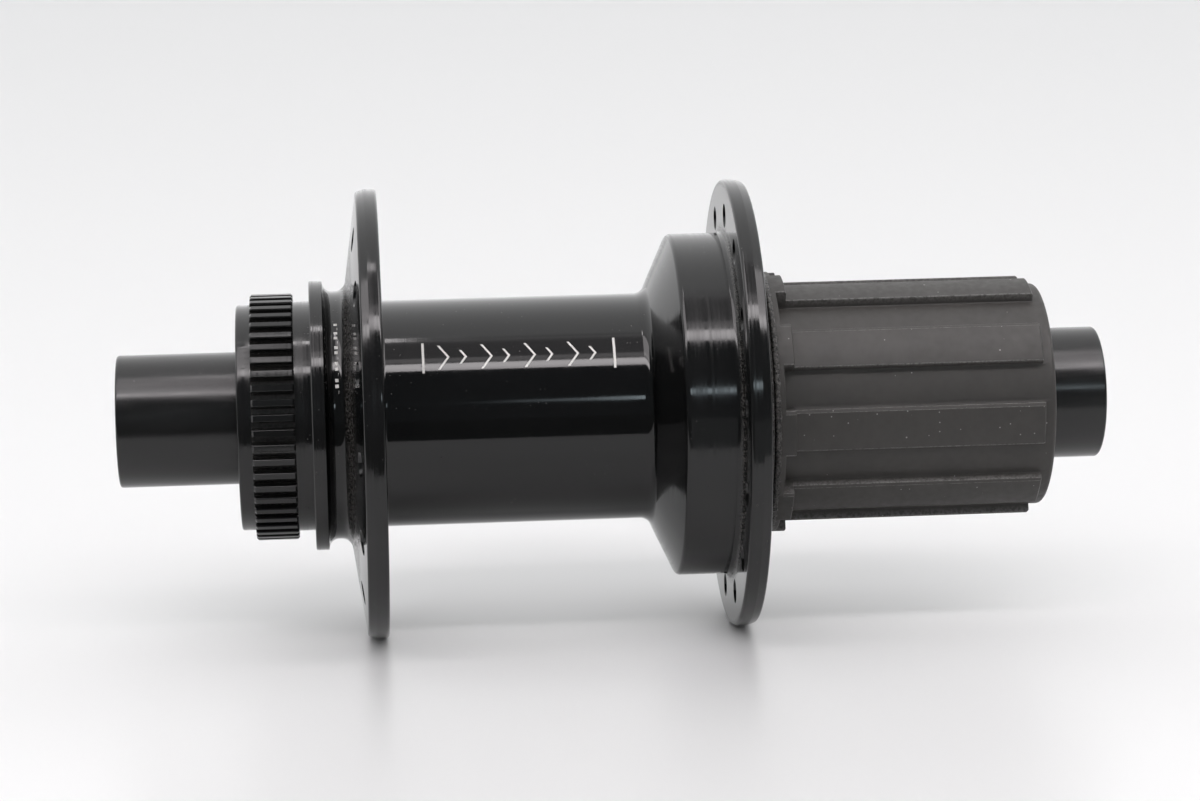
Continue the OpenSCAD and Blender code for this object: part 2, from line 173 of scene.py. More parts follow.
def thread(skin, radius, start, end, degs):
    """Loops of a 1 mm pitch internal thread that fades out at both ends."""
    rows = int(round(abs(end - start) / THREAD_ROW))
    loops = []
    for i in range(rows + 1):
        y = start + (end - start) * i / rows
        fade = min(1, abs(y - start) / THREAD_FADE, abs(y - end) / THREAD_FADE)
        radii = []
        for d in degs:
            turn = (y + d / 360) % 1
            groove = min(1, THREAD_STEEPNESS * (1 - abs(2 * turn - 1)))
            radii.append(radius + THREAD_DEPTH * fade * groove)
        loops.append(skin.loop(y, radii, degs))
    return skin.bands(loops)


# ---------- materials ----------

class Finish:
    """A node material round one Principled shader. Coordinates are millimetres in the hub's frame."""

    def __init__(self, name, **constants):
        self.material = bpy.data.materials.new(name)
        self.material.use_nodes = True
        self.tree = self.material.node_tree
        self.shader = self.tree.nodes["Principled BSDF"]
        for key, value in constants.items():
            self.shader.inputs[key.replace("_", " ")].default_value = value
        place_node = self.node("ShaderNodeTexCoord")
        self.mm = self.math("SCALE", place_node.outputs["Object"], 1000, vector=True)
        parts = self.node("ShaderNodeSeparateXYZ", {"Vector": self.mm})
        self.x, self.y, self.z = parts.outputs
        across = self.math("ADD", self.times(self.x, self.x), self.times(self.z, self.z))
        self.radius = self.math("SQRT", across, 0)

    def node(self, kind, inputs=None, **settings):
        made = self.tree.nodes.new(kind)
        for key, value in settings.items():
            setattr(made, key, value)
        for key, value in (inputs or {}).items():
            self.feed(value, made.inputs[key])
        return made

    def feed(self, value, socket):
        if isinstance(value, bpy.types.NodeSocket):
            self.tree.links.new(value, socket)
        else:
            socket.default_value = value

    def math(self, operation, a, b, vector=False):
        if vector:
            made = self.node("ShaderNodeVectorMath", operation=operation)
            self.feed(a, made.inputs[0])
            self.feed(b, made.inputs["Scale"])
            return made.outputs[0]
        made = self.node("ShaderNodeMath", operation=operation)
        self.feed(a, made.inputs[0])
        self.feed(b, made.inputs[1])
        return made.outputs[0]

    def times(self, first, *others):
        for other in others:
            first = self.math("MULTIPLY", first, other)
        return first

    def most(self, first, *others):
        for other in others:
            first = self.math("MAXIMUM", first, other)
        return first

    def span(self, value, low, high, to_low=0.0, to_high=1.0):
        """Follows value from to_low at low up to to_high at high, and stays level beyond them."""
        made = self.node("ShaderNodeMapRange", {
            "Value": value, "From Min": low, "From Max": high, "To Min": to_low, "To Max": to_high})
        return made.outputs["Result"]

    def window(self, value, rise, fall, full=1.0):
        """Climbs from 0 to full across the rise, and goes back to 0 across the fall."""
        return self.times(self.span(value, *rise, 0.0, full), self.span(value, *fall, 1.0, 0.0))

    def noise(self, scale, detail=2.0, at=None, rough=0.5):
        made = self.node("ShaderNodeTexNoise", {
            "Vector": at or self.mm, "Scale": scale, "Detail": detail, "Roughness": rough})
        return made.outputs["Fac"]

    def turned(self, scale, detail=3.0):
        """Noise that runs in rings round the hub axis, as a lathe tool leaves it."""
        drift = self.times(self.x, 0.004)
        rings = self.node("ShaderNodeCombineXYZ", {"X": self.radius, "Y": self.y, "Z": drift})
        return self.noise(scale, detail, rings.outputs[0])

    def specks(self, scale, size, seed=0.0):
        """White on small round spots of uneven size, and black elsewhere."""
        moved = self.node("ShaderNodeVectorMath", operation="ADD")
        self.feed(self.mm, moved.inputs[0])
        moved.inputs[1].default_value = (seed, seed, seed)
        cells = self.node("ShaderNodeTexVoronoi", {"Vector": moved.outputs[0], "Scale": scale})
        uneven = self.node("ShaderNodeSeparateColor", {"Color": cells.outputs["Color"]})
        limit = self.span(uneven.outputs[0], 0.55, 1.0, 0.0, size)
        return self.span(self.math("SUBTRACT", limit, cells.outputs["Distance"]), 0.0, size * 0.3)

    def near(self, point, full_mm, none_mm):
        """White near one point of the hub, fading to black."""
        gap = self.node("ShaderNodeVectorMath", operation="DISTANCE")
        self.feed(self.mm, gap.inputs[0])
        self.feed(tuple(c / MM for c in point), gap.inputs[1])
        return self.span(gap.outputs["Value"], full_mm, none_mm, 1.0, 0.0)

    def mix(self, fac, a, b):
        made = self.node("ShaderNodeMix", data_type="RGBA")
        self.feed(fac, made.inputs["Factor"])
        self.feed(a, made.inputs["A"])
        self.feed(b, made.inputs["B"])
        return made.outputs["Result"]

    def set(self, **values):
        for key, value in values.items():
            self.feed(value, self.shader.inputs[key.replace("_", " ")])

    def bump(self, height, distance_mm, below=None):
        made = self.node("ShaderNodeBump", {"Height": height, "Distance": distance_mm * MM, "Strength": 1.0})
        if below:
            self.feed(below, made.inputs["Normal"])
        return made.outputs["Normal"]


def grey(value, warm=0.0):
    return (value * (1 + warm), value, value * (1 - warm), 1)


def shell_finish():
    """Gloss black barrel; duller turned black on drum, rims and rotor side; dust in the roots; spline gaps
    painted lighter, partly dust and partly a painted reflection of the floor.
    """
    f = Finish("shell_anodised", Metallic=0.0, IOR=1.5)
    drum = f.window(f.radius, (23.4, 24.2), (25.0, 25.4))
    cone = f.times(f.span(f.y, -3.6, -4.6, 0.0, 0.7), f.span(f.radius, 17.2, 18.2),
                   f.span(f.y, -16.4, -16.5, 1.0, 0.0))
    rotor_side = f.span(f.y, 41.2, 41.4)
    rims = f.span(f.radius, 31.4, 31.6, 0.0, 0.8)
    turned = f.most(f.times(drum, 0.45), cone, rotor_side, rims)

    rotor_root = f.times(f.window(f.y, (36.2, 36.5), (38.2, 38.8)), f.span(f.radius, 20.0, 26.5, 1.0, 0.0))
    drum_root = f.times(f.window(f.radius, (24.0, 24.6), (25.2, 26.6), 0.8),
                        f.window(f.y, (-16.0, -16.4), (-17.2, -17.4)))
    root = f.most(rotor_root, drum_root)
    crumbs = f.times(root, f.span(f.noise(2.6, 4, rough=0.7), 0.44, 0.62))
    patch = f.near(place(BARREL_R, 18, 27), 3.0, 11.0)
    clusters = f.most(patch, f.span(f.noise(0.09, 3), 0.46, 0.6, 0.08, 1.0))
    dust = f.most(f.times(f.specks(1.7, 0.17), clusters), crumbs)

    base = f.mix(f.noise(0.25, 3), grey(0.0015, -0.04), grey(0.0035, -0.02))
    base = f.mix(f.times(turned, 0.8), base, grey(0.006))
    # The spline's gaps are painted lighter grey: partly dust, partly a painted reflection of the floor in the
    # gap floors.
    spline_gap_dust_and_reflection = f.times(f.span(f.radius, 16.5, 17.3, 1.0, 0.0), f.window(f.y, (45.5, 45.7), (51.6, 51.8)))
    base = f.mix(f.times(spline_gap_dust_and_reflection, f.noise(3.0, 4)), base, grey(0.05, 0.05))
    f.set(Base_Color=f.mix(f.times(dust, 0.35), base, grey(0.19, 0.07)))

    polish = f.span(f.noise(0.35, 4), 0.3, 0.7, 0.05, 0.085)
    streaks = f.times(turned, f.span(f.turned(3.5, 4), 0.36, 0.64, 0.0, 0.15))
    f.set(Roughness=f.math("ADD", f.math("ADD", polish, streaks), f.times(dust, 0.4)))
    marks = f.bump(f.turned(5.0, 4), 0.0012)
    grain = f.bump(f.noise(5.0, 2), 0.0010, marks)
    f.set(Normal=f.bump(f.times(crumbs, f.noise(4.0, 2)), 0.04, grain))
    return f.material


def cap_finish():
    """Satin black with faint streaks along the axis."""
    f = Finish("cap_anodised", Metallic=0.0, IOR=1.5)
    dust = f.specks(1.1, 0.10, 31.0)
    base = f.mix(f.noise(0.4, 3), grey(0.005, -0.02), grey(0.010, 0.02))
    f.set(Base_Color=f.mix(f.times(dust, 0.25), base, grey(0.30)))
    along = f.node("ShaderNodeCombineXYZ", {"X": f.x, "Y": f.times(f.y, 0.12), "Z": f.z})
    f.set(Roughness=f.span(f.noise(1.1, 4, along.outputs[0]), 0.3, 0.7, 0.15, 0.27))
    f.set(Normal=f.bump(f.turned(7.0, 4), 0.0012))
    return f.material


def grease_parts(f):
    """Colour, roughness and lump height of dusty grease."""
    clods = f.span(f.noise(2.4, 4, rough=0.7), 0.42, 0.58)
    colour = f.mix(clods, grey(0.006), grey(0.10, 0.05))
    return colour, f.span(f.noise(2.2, 3), 0.35, 0.65, 0.10, 0.5), f.noise(3.2, 5, rough=0.65)


def freehub_finish():
    """Matt dark grey, painted lighter along the ridges' edges (partly wear, partly a painted highlight of the
    edges), with grease smeared on the shoulder ring.
    """
    f = Finish("freehub_anodised", Metallic=0.0, IOR=1.5)
    worn_and_highlit_edges = f.node("ShaderNodeAttribute", attribute_name="wear_and_edge_highlight").outputs["Fac"]
    dust = f.specks(0.8, 0.12, 11.0)
    patches = f.noise(0.22, 5, rough=0.6)
    base = f.mix(patches, grey(0.025, 0.07), grey(0.039, 0.09))
    # Ridge edges painted lighter grey: partly wear, partly a painted highlight where the edges catch the light.
    scuffs_and_edge_highlight = f.times(worn_and_highlit_edges, f.span(f.noise(2.5, 3), 0.35, 0.6, 0.2, 1.0))
    base = f.mix(scuffs_and_edge_highlight, base, grey(0.20, 0.03))
    base = f.mix(f.times(dust, 0.5), base, grey(0.45, 0.03))
    rough = f.span(f.noise(0.9, 4), 0.3, 0.7, 0.46, 0.6)
    ragged_y = f.math("ADD", f.y, f.times(f.noise(1.3, 4), 0.9))
    smear = f.times(f.span(ragged_y, -22.05, -21.95), f.span(f.radius, 18.2, 18.4))
    grease, grease_rough, lumps = grease_parts(f)
    f.set(Base_Color=f.mix(smear, base, grease))
    clean = f.math("SUBTRACT", 1.0, smear)
    f.set(Roughness=f.math("ADD", f.times(clean, rough), f.times(smear, grease_rough)))
    grain = f.bump(f.noise(9.0, 3), 0.006)
    marks = f.bump(f.turned(3.0, 4), 0.006, grain)
    f.set(Normal=f.bump(f.times(smear, lumps), 0.2, marks))
    return f.material


def grease_finish():
    f = Finish("rubber_black", Metallic=0.0, IOR=1.5)
    colour, rough, lumps = grease_parts(f)
    f.set(Base_Color=colour)
    f.set(Roughness=rough)
    f.set(Normal=f.bump(lumps, 0.22))
    return f.material


def etched_finish():
    f = Finish("etched_mark", Metallic=0.0, IOR=1.5)
    f.set(Base_Color=f.mix(f.noise(6.0, 3), grey(0.58, 0.03), grey(0.78, 0.03)))
    f.set(Roughness=f.span(f.noise(4.0, 2), 0.3, 0.7, 0.5, 0.7))
    f.set(Normal=f.bump(f.noise(12.0, 2), 0.004))
    return f.material


def moulded_rubber_finish():
    f = Finish("seal_rubber", Metallic=0.0, IOR=1.5)
    f.set(Base_Color=f.mix(f.noise(0.7, 4), grey(0.016), grey(0.034, 0.02)))
    f.set(Roughness=f.span(f.noise(1.5, 3), 0.3, 0.7, 0.42, 0.62))
    f.set(Normal=f.bump(f.noise(8.0, 2), 0.01))
    return f.material


def metal_finish(name, dark, light, rough_low, rough_high, mark_mm, warm=0.0):
    f = Finish(name, Metallic=1.0)
    f.set(Base_Color=f.mix(f.noise(0.5, 4), grey(dark, warm), grey(light, warm)))
    f.set(Roughness=f.span(f.noise(1.2, 3), 0.3, 0.7, rough_low, rough_high))
    f.set(Normal=f.bump(f.turned(6.0, 3), mark_mm))
    return f.material


def brass_finish():
    f = Finish("cage_brass", Metallic=1.0)
    f.set(Base_Color=f.mix(f.noise(0.6, 4), (0.50, 0.36, 0.15, 1), (0.70, 0.54, 0.27, 1)))
    f.set(Roughness=f.span(f.noise(1.2, 3), 0.3, 0.7, 0.25, 0.4))
    f.set(Normal=f.bump(f.noise(5.0, 2), 0.004))
    return f.material


FINISHES = {
    "shell_anodised": shell_finish(),
    "cap_anodised": cap_finish(),
    "freehub_anodised": freehub_finish(),
    "rubber_black": grease_finish(),
    "seal_rubber": moulded_rubber_finish(),
    "axle_alloy": metal_finish("axle_alloy", 0.48, 0.60, 0.25, 0.38, 0.004),
    "spacer_alloy": metal_finish("spacer_alloy", 0.55, 0.66, 0.22, 0.34, 0.004),
    "ratchet_steel": metal_finish("ratchet_steel", 0.36, 0.46, 0.28, 0.42, 0.003),
    "pawl_steel": metal_finish("pawl_steel", 0.40, 0.50, 0.26, 0.40, 0.003),
    "spring_steel": metal_finish("spring_steel", 0.52, 0.64, 0.18, 0.30, 0.002),
    "bearing_steel": metal_finish("bearing_steel", 0.60, 0.70, 0.12, 0.22, 0.001),
    "ball_steel": metal_finish("ball_steel", 0.76, 0.84, 0.05, 0.10, 0.0004),
    "cage_brass": brass_finish(),
}


def paint(piece, finish):
    piece.data.materials.clear()
    piece.data.materials.append(finish)


def add_piece(piece, body, slot, *nodes):
    """A finished piece: its material, the body it rides on, its slot and the CAD nodes it stands for."""
    paint(piece, FINISHES[slot])
    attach(piece, body)
    if nodes:
        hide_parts(*nodes)
    return piece


for name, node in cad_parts.items():
    paint(node, FINISHES[node.data.materials[0].name.split(".")[0]])


# ---------- hub shell ----------

NOSE_Y, NOSE_R = 53.76, 16.2
SPLINE_TOP_Y, SPLINE_LOW_Y, SPLINE_R = 51.7, 45.6, 17.7
BAND_R = 16.5
SHOULDER_TOP_Y, SHOULDER_LOW_Y, SHOULDER_R, SHOULDER_FILLET = 43.25, 41.35, 19.4, 1.4
NECK_R, NECK_FILLET = 17.85, 1.6
FLANGE_R, FLANGE_T, INBOARD_ROUND = 32.4, 3.1, 0.5
DISC_FACE_Y, DRIVE_FACE_Y = 36.3, -19.7
DISH_DEG, DISH_RIM_R = 8, 31.37
BARREL_FILLET = 0.5
CONE_START_Y, CONE_SLOPE, CONE_FILLET = -4.75, 25, 1.8
DRUM_R, DRUM_ROUND, DRUM_FILLET = 24.75, 0.8, 1.0
BOSS_R, SHELL_END_Y = 22.8, -20.3
ROTOR_THREAD_R = 14.6
BORE_R, BEARING_SEAT_R, BEARING_LIP_R, RATCHET_SEAT_R, SEAL_POCKET_R = 13.6, 14, 12.3, 15, 21.2
ROTOR_THREAD_END_Y = 48.8
SPOKES, SPOKE_CIRCLE_R, SPOKE_HOLE_R, COUNTERSINK = 14, 27.7, 1.3, 0.5
SPOKE_PHASE = 90 + 9
HOLE_BAND = (29.8, 25.6)  # rings just outside and just inside the disc-side spoke holes
TEETH, TOOTH_PHASE = 52, 3.0
# A rotor tooth and the gap after it: degrees from its middle, share of its height
TOOTH = ((-2.4, 0), (-2.15, 0.05), (-2.0, 0.2), (-1.76, 0.78), (-1.66, 0.9), (-1.5, 0.97), (-1.3, 1), (0, 1),
         (1.3, 1), (1.5, 0.97), (1.66, 0.9), (1.76, 0.78), (2.0, 0.2), (2.15, 0.05), (2.4, 0), (3.46, 0))
ROUND = even(256)


def dish_y(r):
    """Station of the dished outboard face of the disc-side flange at radius r."""
    return DISC_FACE_Y - 0.012 + (DISH_RIM_R - r) * math.tan(math.radians(DISH_DEG))


def spoke_loops(skin, low, high_at, first_deg):
    """The countersunk spoke holes of one flange. Returns the mouth loops on its high and low face."""
    wide = SPOKE_HOLE_R + COUNTERSINK
    high = high_at(SPOKE_CIRCLE_R)
    outline = ((wide, high), (SPOKE_HOLE_R, high - COUNTERSINK), (SPOKE_HOLE_R, low + COUNTERSINK), (wide, low))
    mouths = ([], [])
    for i in range(SPOKES):
        centre = Vector(place(SPOKE_CIRCLE_R, first_deg + 360 * i / SPOKES, 0))
        loops = skin.turn(outline, even(32))
        for loop in loops:
            for k in loop:
                skin.points[k] = tuple(Vector(skin.points[k]) + centre)
        for k in loops[0]:
            x, _, z = skin.points[k]
            skin.points[k] = (x, high_at(math.hypot(x, z) / MM) * MM, z)
        mouths[0].append(loops[0])
        mouths[1].append(loops[-1])
    return mouths


def rim(face_y, side, corner_y, lean_deg=0):
    """Outline of a flange's rim, from its outboard face over a shallow bevel and the crown to its back."""
    points = [
        *arc(FLANGE_R - 0.72, corner_y, 0.45, 90 - lean_deg, 16, 6),
        *arc(FLANGE_R - 0.1, -1.32, 0.1, 16, 0, 2),
        *arc(FLANGE_R - INBOARD_ROUND, INBOARD_ROUND - FLANGE_T, INBOARD_ROUND, 0, -90, 6),
    ]
    return [(r, face_y + side * y) for r, y in points]


def hub_shell():
    skin = Skin()
    pitch = 360 / TEETH
    columns = [(TOOTH_PHASE + i * pitch + d, h) for i in range(TEETH) for d, h in TOOTH]
    teeth_degs = [d for d, _ in columns]

    def toothed(y, floor, drop=0.0):
        tall = SPLINE_R - NOSE_R - drop
        return skin.loop(y, [max(floor, NOSE_R + h * tall) for _, h in columns], teeth_degs)

    nose = skin.turn([(NOSE_R - 0.8, NOSE_Y), *arc(NOSE_R - 0.35, NOSE_Y - 0.35, 0.35, 90, 0, 5),
                      (NOSE_R, SPLINE_TOP_Y)], teeth_degs)
    spline = [toothed(SPLINE_TOP_Y, NOSE_R, 0.25), toothed(SPLINE_TOP_Y - 0.25, NOSE_R),
              toothed(SPLINE_LOW_Y + 0.25, NOSE_R), toothed(SPLINE_LOW_Y, NOSE_R, 0.25)]
    band = [skin.circle(SPLINE_LOW_Y, BAND_R, teeth_degs), skin.circle(SHOULDER_TOP_Y, BAND_R, teeth_degs)]
    skin.bands([nose[-1], *spline, *band])

    dish_neck_r = NECK_R + NECK_FILLET * (1 - math.sin(math.radians(DISH_DEG)))
    dish_start_y = dish_y(dish_neck_r) + NECK_FILLET * math.cos(math.radians(DISH_DEG))
    neck = skin.turn([
        (SHOULDER_R - 0.15, SHOULDER_TOP_Y), (SHOULDER_R, SHOULDER_TOP_Y - 0.15),
        (SHOULDER_R, SHOULDER_LOW_Y + 0.08), (SHOULDER_R - 0.08, SHOULDER_LOW_Y),
        *arc(NECK_R + SHOULDER_FILLET, SHOULDER_LOW_Y - SHOULDER_FILLET, SHOULDER_FILLET, 90, 180, 10),
        *arc(NECK_R + NECK_FILLET, dish_start_y, NECK_FILLET, 180, 270 - DISH_DEG, 12),
    ], ROUND)
    skin.plate(neck[0], band[-1])

    disc_back, drive_back = DISC_FACE_Y - FLANGE_T, DRIVE_FACE_Y + FLANGE_T
    disc_rim = skin.turn(rim(DISC_FACE_Y, 1, -0.51, DISH_DEG), ROUND)
    upper, lower = spoke_loops(skin, disc_back, dish_y, SPOKE_PHASE)
    outer_ring, inner_ring = (skin.circle(dish_y(r), r, ROUND) for r in HOLE_BAND)
    skin.band(disc_rim[0], outer_ring)
    skin.plate(outer_ring, inner_ring, *upper)
    skin.band(inner_ring, neck[-1])

    cone_corner = math.tan(math.radians((90 - CONE_SLOPE) / 2))
    cone_end_y = CONE_START_Y - (DRUM_R - BARREL_R) * math.tan(math.radians(CONE_SLOPE))
    barrel = skin.turn([
        *arc(BARREL_R + BARREL_FILLET, disc_back - BARREL_FILLET, BARREL_FILLET, 90, 180, 8),
        *arc(BARREL_R + CONE_FILLET, CONE_START_Y + CONE_FILLET * cone_corner, CONE_FILLET,
             180, 270 - CONE_SLOPE, 10),
        *arc(DRUM_R - DRUM_ROUND, cone_end_y - DRUM_ROUND * cone_corner, DRUM_ROUND, 90 - CONE_SLOPE, 0, 8),
        *arc(DRUM_R + DRUM_FILLET, drive_back + DRUM_FILLET, DRUM_FILLET, 180, 270, 10),
    ], ROUND)
    skin.plate(disc_rim[-1], barrel[0], *lower)

    drive_rim = skin.turn(list(reversed(rim(DRIVE_FACE_Y, -1, -0.45))), ROUND)
    upper, lower = spoke_loops(skin, DRIVE_FACE_Y, lambda r: drive_back, SPOKE_PHASE + 180 / SPOKES)
    skin.plate(drive_rim[0], barrel[-1], *upper)

    inside = skin.turn([
        (BOSS_R + 0.4, DRIVE_FACE_Y), (BOSS_R, SHELL_END_Y), (SEAL_POCKET_R + 0.4, SHELL_END_Y),
        (SEAL_POCKET_R, SHELL_END_Y + 0.4), (SEAL_POCKET_R, -12), (RATCHET_SEAT_R, -12),
        (BEARING_SEAT_R, -11.4), (BEARING_SEAT_R, -4), (BEARING_LIP_R, -4), (BEARING_LIP_R, -2),
        (BORE_R, 0), (BORE_R, 35.2), (BEARING_LIP_R, 37.2), (BEARING_LIP_R, 39.2),
        (BEARING_SEAT_R, 39.2), (BEARING_SEAT_R, ROTOR_THREAD_END_Y), (ROTOR_THREAD_R, ROTOR_THREAD_END_Y),
    ], ROUND)
    skin.plate(drive_rim[-1], inside[0], *lower)
    turns = thread(skin, ROTOR_THREAD_R, ROTOR_THREAD_END_Y, NOSE_Y - 0.5, ROUND)
    mouth = skin.circle(NOSE_Y, ROTOR_THREAD_R + 0.5, ROUND)
    skin.bands([inside[-1], turns[0]])
    skin.bands([turns[-1], mouth])
    skin.plate(nose[0], mouth)
    return skin.object("hub_shell_turned", 30)


add_piece(hub_shell(), "hub_shell", "shell_anodised", "hub_shell")


# ---------- freehub ----------

RIDGES, RIDGE_PHASE, RIDGE_DEG, ODD_EXTRA_DEG = 9, 15.9 - 180, 20.2, 7
RIDGE_R, ROOT_R = 17.4, 16.1
RIDGE_START_Y, RIDGE_END_Y, FREEHUB_END_Y = -23.2, -60.5, -62.3
LUG_END_Y, LUG_RISE = -24.7, 2.15
CARRIER_R, CARRIER_BORE_R, SNAP_GROOVE_R = 17.3, 10.2, 14.6
FREEHUB_SHOULDER_Y, FREEHUB_SHOULDER_R = -21.7, 18.9
CASSETTE_THREAD_R, CASSETTE_THREAD_END_Y = 14.7, -53.4
FREEHUB_SHARP_DEG = 55
PAWLS, PAWL_PIVOT_R, PAWL_SEAT_R = 4, 15.6, 1.25
PAWL_POCKET_LOW_Y, PAWL_POCKET_HIGH_Y = -19.6, -13.2


def freehub_columns():
    """Columns round the freehub: angle, height as a share of the ridge's, and edge lightening (partly wear,
    partly a painted edge highlight).
    """
    columns = []
    for i in range(RIDGES):
        low = RIDGE_PHASE + 360 * i / RIDGES - RIDGE_DEG / 2
        high = low + RIDGE_DEG + (ODD_EXTRA_DEG if i == 0 else 0)
        after = RIDGE_PHASE + 360 * (i + 1) / RIDGES - RIDGE_DEG / 2
        columns += [(low - 0.5, 0, 0), (low, 0.12, 0), (low, 0.88, 0.4), (low + 0.5, 1, 0.8),
                    (low + 0.8, 1, 0)]
        start, stop = low + 1.6, high - 2.2
        columns += [(start + (stop - start) * k / 9, 1, 0) for k in range(10)]
        columns += [(high - 1.75, 1, 0), (high - 1.6, 1, 0.9), (high - 1.45, 0.985, 0),
                    (high - 0.25, 0.9, 0), (high - 0.1, 0.88, 1), (high, 0.84, 0.6), (high, 0.12, 0),
                    (high + 0.5, 0, 0)]
        start, stop = high + 2, after - 2
        columns += [(start + (stop - start) * k / 5, 0, 0) for k in range(6)]
    return columns


def cutter(outline, low, high, turn_deg):
    """A prism with the given outline, drawn from a pawl's pivot and turned round the hub axis."""
    bm = bmesh.new()
    ends = []
    for y in (low, high):
        ends.append([bm.verts.new(((PAWL_PIVOT_R + u) * MM, y * MM, -v * MM)) for u, v in outline])
    bm.faces.new(ends[0])
    bm.faces.new(list(reversed(ends[1])))
    for i in range(len(outline)):
        j = (i + 1) % len(outline)
        bm.faces.new((ends[0][i], ends[1][i], ends[1][j], ends[0][j]))
    bmesh.ops.recalc_face_normals(bm, faces=bm.faces)
    bm.transform(Matrix.Rotation(math.radians(turn_deg), 4, "Y"))
    mesh = bpy.data.meshes.new("cutter")
    bm.to_mesh(mesh)
    bm.free()
    return mesh


def pawl_pocket_outline():
    """A round seat for the pawl's heel, open on one side for the pawl and its spring."""
    seat = [(PAWL_SEAT_R * math.cos(a), PAWL_SEAT_R * math.sin(a))
            for a in (math.radians(39.8 - 210.6 * k / 12) for k in range(13))]
    return [(4, seat[0][1]), *seat, (-3.4, seat[-1][1]), (-3.4, 9.6), (4, 9.6)]


def cut(piece, cutters):
    """Takes the cutters out of the piece for good."""
    joined = bmesh.new()
    for mesh in cutters:
        joined.from_mesh(mesh)
    tool_mesh = bpy.data.meshes.new("cutters")
    joined.to_mesh(tool_mesh)
    joined.free()
    tool = linked("cutters", tool_mesh)
    taken = piece.modifiers.new("cut", "BOOLEAN")
    taken.operation = "DIFFERENCE"
    taken.solver = "EXACT"
    taken.object = tool
    piece.modifiers.move(len(piece.modifiers) - 1, 0)
    weighted = piece.modifiers[1]
    weighted.show_viewport = False
    graph = bpy.context.evaluated_depsgraph_get()
    mesh = bpy.data.meshes.new_from_object(piece.evaluated_get(graph))
    weighted.show_viewport = True
    piece.modifiers.remove(taken)
    piece.data = mesh
    bpy.data.objects.remove(tool)


def freehub_body():
    skin = Skin()
    columns = freehub_columns()
    degs = [c[0] for c in columns]

    def ridged(y, drop=0.0):
        tall = RIDGE_R - ROOT_R - drop
        return skin.loop(y, [ROOT_R + h * tall for _, h, _ in columns], degs, [c[2] for c in columns])

    def lugged(y, drop=0.0, floor=ROOT_R):
        """Like a ridge, but as tall as the shoulder ring."""
        tall = FREEHUB_SHOULDER_R - ROOT_R - drop
        heights = [h if h < 0.5 else 1 - (1 - h) / LUG_RISE for _, h, _ in columns]
        return skin.loop(y, [max(floor, ROOT_R + h * tall) for h in heights], degs, [c[2] for c in columns])

    ring_r = FREEHUB_SHOULDER_R - 0.12
    inner = skin.turn([
        (CARRIER_BORE_R, -22), (CARRIER_BORE_R, -12.5), (CARRIER_R - 0.4, -12.5), (CARRIER_R, -12.9),
        (CARRIER_R, FREEHUB_SHOULDER_Y), (FREEHUB_SHOULDER_R - 0.3, FREEHUB_SHOULDER_Y),
        (FREEHUB_SHOULDER_R, FREEHUB_SHOULDER_Y - 0.3), (FREEHUB_SHOULDER_R, RIDGE_START_Y + 0.12),
    ], degs)
    ridges = [lugged(RIDGE_START_Y, 0, ring_r), lugged(RIDGE_START_Y), lugged(LUG_END_Y + 0.15),
              lugged(LUG_END_Y, 0.15), ridged(LUG_END_Y), ridged(-44), ridged(RIDGE_END_Y + 0.25),
              ridged(RIDGE_END_Y, 0.22)]
    end = skin.turn([
        (ROOT_R, RIDGE_END_Y), *arc(ROOT_R - 0.6, FREEHUB_END_Y + 0.6, 0.6, 0, -90, 6),
        (CASSETTE_THREAD_R + 0.4, FREEHUB_END_Y), (CASSETTE_THREAD_R, FREEHUB_END_Y + 0.4),
    ], degs)
    turns = thread(skin, CASSETTE_THREAD_R, FREEHUB_END_Y + 0.4, CASSETTE_THREAD_END_Y, degs)
    seats = skin.turn([
        (CASSETTE_THREAD_R, -53.1), (BEARING_SEAT_R, -53.1), (BEARING_SEAT_R, -52.6), (SNAP_GROOVE_R, -52.6),
        (SNAP_GROOVE_R, -51.5), (BEARING_SEAT_R, -51.5), (BEARING_SEAT_R, -22),
    ], degs)
    skin.bands([inner[-1], *ridges, end[0]])
    skin.bands([end[-1], turns[0]])
    skin.bands([turns[-1], seats[0]])
    skin.bands([seats[-1], inner[0]])
    piece = skin.object("freehub_splined_body", FREEHUB_SHARP_DEG)
    pocket = pawl_pocket_outline()
    cut(piece, [cutter(pocket, PAWL_POCKET_LOW_Y, PAWL_POCKET_HIGH_Y, turn) for turn in even(PAWLS)])
    smooth(piece.data, FREEHUB_SHARP_DEG)
    return piece


add_piece(freehub_body(), "freehub", "freehub_anodised", "freehub_body")


def freehub_seal():
    """The rubber lip, with a ragged bead of grease on it."""
    outline = [(17.32, -19.75), (20.4, -19.95), (20.62, -20.08), (20.7, -20.3), (20.66, -20.6),
               (20.5, -20.85)]
    outline += [(20.5 - 1.35 * k / 7, -20.85 - 0.62 * k / 7) for k in range(1, 8)]
    outline += [(18.75, -21.56), (17.32, -21.6)]
    skin = Skin()
    degs = even(560)
    loops = []
    for k, (r, y) in enumerate(outline):
        rough = 0.13 if 4 <= k < len(outline) - 2 else 0.0
        loops.append(skin.loop(y, [r + chance.uniform(-rough, rough) for _ in degs], degs))
    skin.bands(loops + [loops[0]])
    return skin.object("freehub_seal_greased", 80)


add_piece(freehub_seal(), "freehub", "rubber_black", "freehub_seal")


# ---------- end caps ----------

